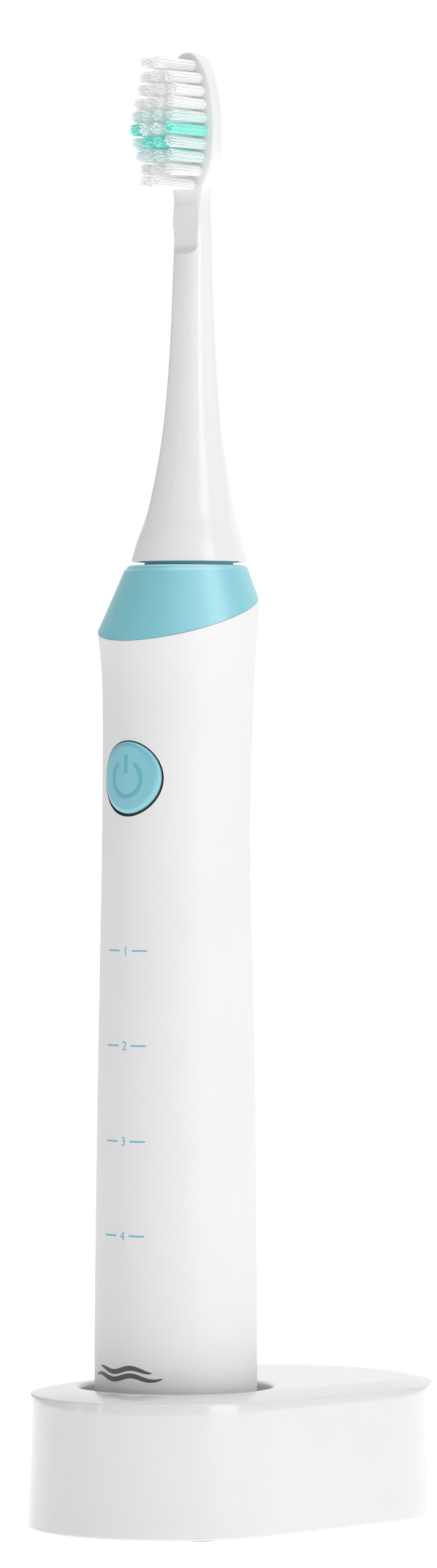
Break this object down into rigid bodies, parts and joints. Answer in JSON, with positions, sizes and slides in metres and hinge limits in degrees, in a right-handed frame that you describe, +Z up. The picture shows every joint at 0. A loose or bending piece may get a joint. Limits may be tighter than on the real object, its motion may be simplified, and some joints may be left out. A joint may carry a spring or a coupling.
{
  "type": "electric toothbrush on charger",
  "caption": "Slim cylindrical toothbrush handle with slanted collar, push button and removable oval brush head, standing in an oval charging base.",
  "frame": {"origin": "centre of the outer size at the underside of the rubber feet", "axes": "+Z up along the handle, -Y towards the front with the button and bristles, +X towards the right as seen from the back"},
  "size_m": [0.051, 0.079, 0.2461],
  "materials": {
    "gloss_white": "glossy white moulded plastic",
    "satin_white": "satin white moulded plastic",
    "head_white": "semi-gloss white plastic",
    "aqua_satin": "satin light blue plastic",
    "aqua_rubber": "soft light blue elastomer",
    "white_nylon": "translucent white nylon filament",
    "teal_nylon": "teal nylon filament",
    "base_plastic": "light grey moulded plastic",
    "chassis_plastic": "dark grey glass-filled plastic",
    "bobbin_nylon": "natural nylon",
    "grey_rubber": "grey silicone rubber",
    "foam_pad": "black foam",
    "steel": "plain steel",
    "nickel": "nickel plating",
    "brass": "sintered bronze",
    "copper": "enamelled copper wire",
    "ferrite": "dark grey ferrite",
    "circuit_board": "green solder mask",
    "black_component": "black moulded component",
    "led_resin": "clear resin",
    "battery_wrap": "blue shrink sleeve"
  },
  "bodies": {
    "charger": {"charger_shell": "gloss_white", "charger_bottom_plate": "base_plastic", "charger_screws": "steel", "charger_feet": "grey_rubber", "cord_inlet_grommet": "grey_rubber", "primary_ferrite_core": "ferrite", "primary_bobbin": "bobbin_nylon", "primary_coil": "copper", "charger_circuit_board": "circuit_board", "charger_board_components": "black_component"},
    "handle": {"handle_housing": "satin_white", "top_collar": "aqua_satin", "bottom_cap": "satin_white", "bottom_seal_ring": "grey_rubber", "secondary_coil": "copper", "secondary_ferrite_ring": "ferrite", "chassis": "chassis_plastic", "main_circuit_board": "circuit_board", "board_processor": "black_component", "mode_leds": "led_resin", "light_guide_carrier": "chassis_plastic", "light_guides": "led_resin", "battery_cell": "battery_wrap", "battery_tabs": "nickel", "battery_pad": "foam_pad", "tact_switch": "black_component", "button_gasket": "grey_rubber", "motor_can": "steel", "motor_end_plates": "bobbin_nylon", "stator_core": "steel", "stator_coil": "copper", "shaft_bushes": "brass", "shaft_seal": "aqua_rubber"},
    "drive": {"drive_shaft": "steel", "rotor_yoke": "steel", "rotor_magnets": "nickel"},
    "brush_head": {"brush_head_body": "head_white", "white_bristle_tufts": "white_nylon", "teal_bristle_tufts": "teal_nylon", "shaft_clip": "bobbin_nylon", "skirt_ring": "aqua_rubber"},
    "button": {"power_button": "aqua_satin", "switch_plunger": "base_plastic"}
  },
  "joints": [
    {"name": "handle_lift", "type": "slide", "parent": "charger", "child": "handle", "axis": [0, 0, 1], "range_m": [0, 0.04]},
    {"name": "button_press", "type": "slide", "parent": "handle", "child": "button", "axis": [0, 1, 0], "range_m": [0, 0.0005], "stiffness_N_per_m": 1500, "springref_m": -0.0002},
    {"name": "shaft_oscillation", "type": "hinge", "parent": "handle", "child": "drive", "pos_m": [0, -0.01095, 0.14], "axis": [0, 0, 1], "range_deg": [-5, 5], "stiffness_Nm_per_rad": 0.2},
    {"name": "brush_head_pull", "type": "slide", "parent": "drive", "child": "brush_head", "axis": [0, 0, 1], "range_m": [0, 0.03]}
  ]
}
